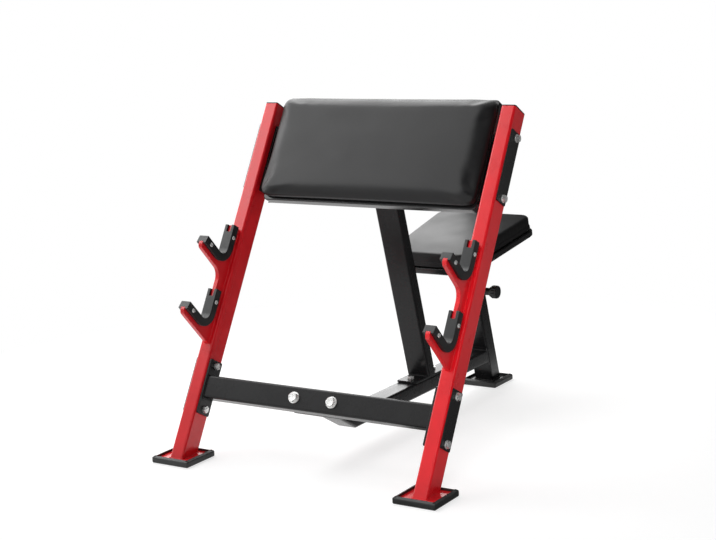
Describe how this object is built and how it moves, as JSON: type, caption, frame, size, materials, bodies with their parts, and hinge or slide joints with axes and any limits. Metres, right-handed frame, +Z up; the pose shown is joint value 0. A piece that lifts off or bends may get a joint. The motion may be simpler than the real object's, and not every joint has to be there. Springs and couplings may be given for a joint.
{
  "type": "preacher curl bench",
  "caption": "Preacher curl bench with leaning posts, a tilted arm pad, bar hooks and a padded seat on a sliding, pinned post.",
  "frame": {"origin": "on the floor, in the middle of the rubber feet, on the middle plane", "axes": "+Z up, +Y from the bar hooks towards the seat, +X to the right of someone who looks at the hooks"},
  "size_m": [0.838, 1.112, 0.8948],
  "materials": {
    "red_coat": "gloss red powder coat",
    "black_coat": "satin black powder coat",
    "rubber": "matt moulded rubber",
    "vinyl": "satin black vinyl over foam",
    "board": "plywood wrapped in black vinyl",
    "liner_plastic": "moulded black plastic",
    "cap_plastic": "moulded black plastic",
    "knob_plastic": "moulded black plastic, slightly glossy",
    "plated_steel": "bright zinc plating",
    "spring_steel": "spring steel"
  },
  "bodies": {
    "frame": {"arm_board": "board", "arm_cushion": "vinyl", "arm_pad_bolts": "plated_steel", "base_plate_front_left": "red_coat", "base_plate_front_right": "red_coat", "base_plate_rear": "black_coat", "foot_front_left": "rubber", "foot_front_right": "rubber", "foot_rear": "rubber", "hook_liner_lower_left": "liner_plastic", "hook_liner_lower_right": "liner_plastic", "hook_liner_upper_left": "liner_plastic", "hook_liner_upper_right": "liner_plastic", "hook_plate_left": "red_coat", "hook_plate_right": "red_coat", "hook_screws": "plated_steel", "lower_beam": "black_coat", "lower_flange_left": "black_coat", "lower_flange_right": "black_coat", "lower_strap_left": "black_coat", "lower_strap_right": "black_coat", "mid_foot_plate": "black_coat", "mid_head_plate": "black_coat", "mid_post": "black_coat", "pad_back_plate": "black_coat", "pin_barrel": "plated_steel", "pin_spring": "spring_steel", "plate_bolts": "plated_steel", "plate_nuts": "plated_steel", "post_bolts": "plated_steel", "post_cap_left": "cap_plastic", "post_cap_right": "cap_plastic", "post_left": "red_coat", "post_nuts": "plated_steel", "post_right": "red_coat", "post_washers": "plated_steel", "seat_sleeve": "black_coat", "sleeve_bush": "cap_plastic", "spine": "black_coat", "spine_front_bolts": "plated_steel", "spine_front_flange": "black_coat", "spine_front_nuts": "plated_steel", "spine_front_washers": "plated_steel", "spine_rear_bolts": "plated_steel", "spine_rear_flange": "black_coat", "spine_rear_nuts": "plated_steel", "upper_flange_left": "black_coat", "upper_flange_right": "black_coat", "upper_strap_left": "black_coat", "upper_strap_right": "black_coat"},
    "seat": {"seat_board": "board", "seat_cushion": "vinyl", "seat_plate": "black_coat", "seat_screws": "plated_steel", "seat_tube": "black_coat", "seat_tube_plug": "cap_plastic"},
    "pin": {"pin_knob": "knob_plastic", "pin_plunger": "plated_steel"}
  },
  "joints": [
    {"name": "seat_height", "type": "slide", "parent": "frame", "child": "seat", "axis": [0, -0.284, 0.9588], "range_m": [0, 0.12]},
    {"name": "pin_pull", "type": "slide", "parent": "frame", "child": "pin", "axis": [1, 0, 0], "range_m": [-0.012, 0]}
  ]
}
